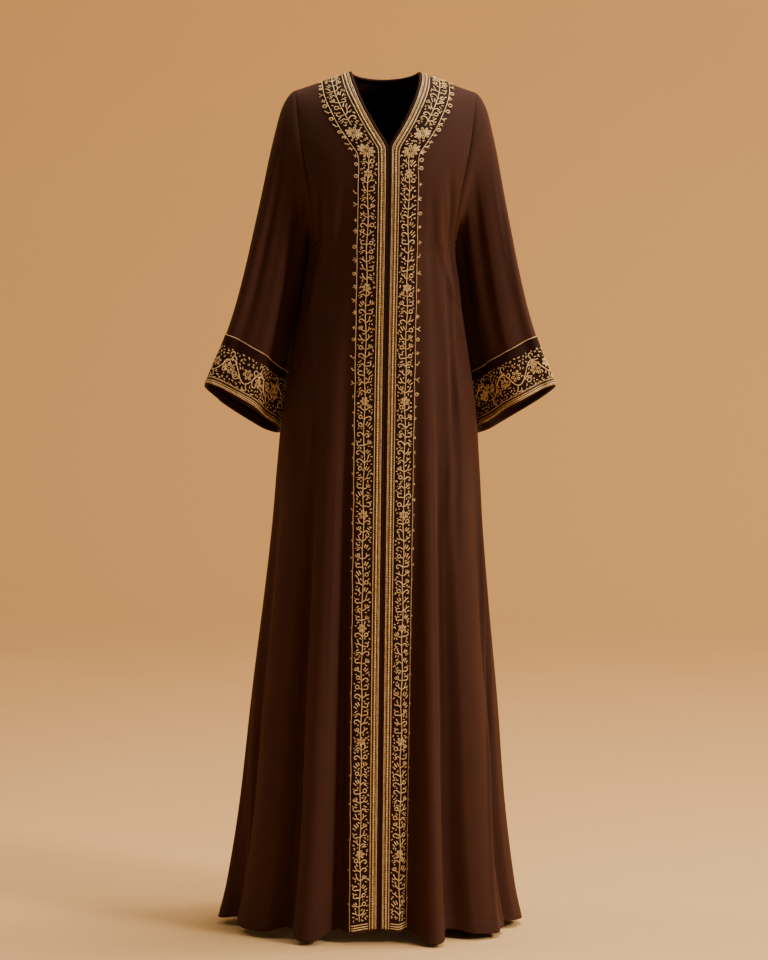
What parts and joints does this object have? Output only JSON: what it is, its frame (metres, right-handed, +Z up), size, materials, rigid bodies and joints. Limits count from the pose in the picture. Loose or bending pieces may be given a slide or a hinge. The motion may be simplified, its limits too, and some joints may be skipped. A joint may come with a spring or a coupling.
{
  "type": "kaftan",
  "caption": "Full-length open-front kaftan in worn form, hollow, with a V neck, bell sleeves, and embroidered bands and gold braid along the front edges and cuffs.",
  "frame": {"origin": "where the wearer's shoulders carry the kaftan: midway between the two high points of the shoulder seams, beside the neck", "axes": "+Z up, +X towards the wearer's left, and the front faces -Y. Left and right in node names are the wearer's"},
  "size_m": [0.624, 0.4128, 1.5288],
  "materials": {
    "cloth": "matt brown crepe with a soft drape and a faint sheen on the folds",
    "dark_cloth": "darker brown satin-weave ground of the bands, the binding and the cuff facings",
    "gold_braid": "woven braid of metallised gold thread, softly shiny"
  },
  "bodies": {
    "root": {"back": "cloth", "edge_binding": "dark_cloth", "neck_braid": "gold_braid", "front_right": "cloth", "sleeve_right": "cloth", "front_band_right": "dark_cloth", "cuff_band_right": "dark_cloth", "cuff_braid_right": "gold_braid", "cuff_facing_right": "dark_cloth", "front_left": "cloth", "sleeve_left": "cloth", "front_band_left": "dark_cloth", "cuff_band_left": "dark_cloth", "cuff_braid_left": "gold_braid", "cuff_facing_left": "dark_cloth"}
  },
  "joints": []
}
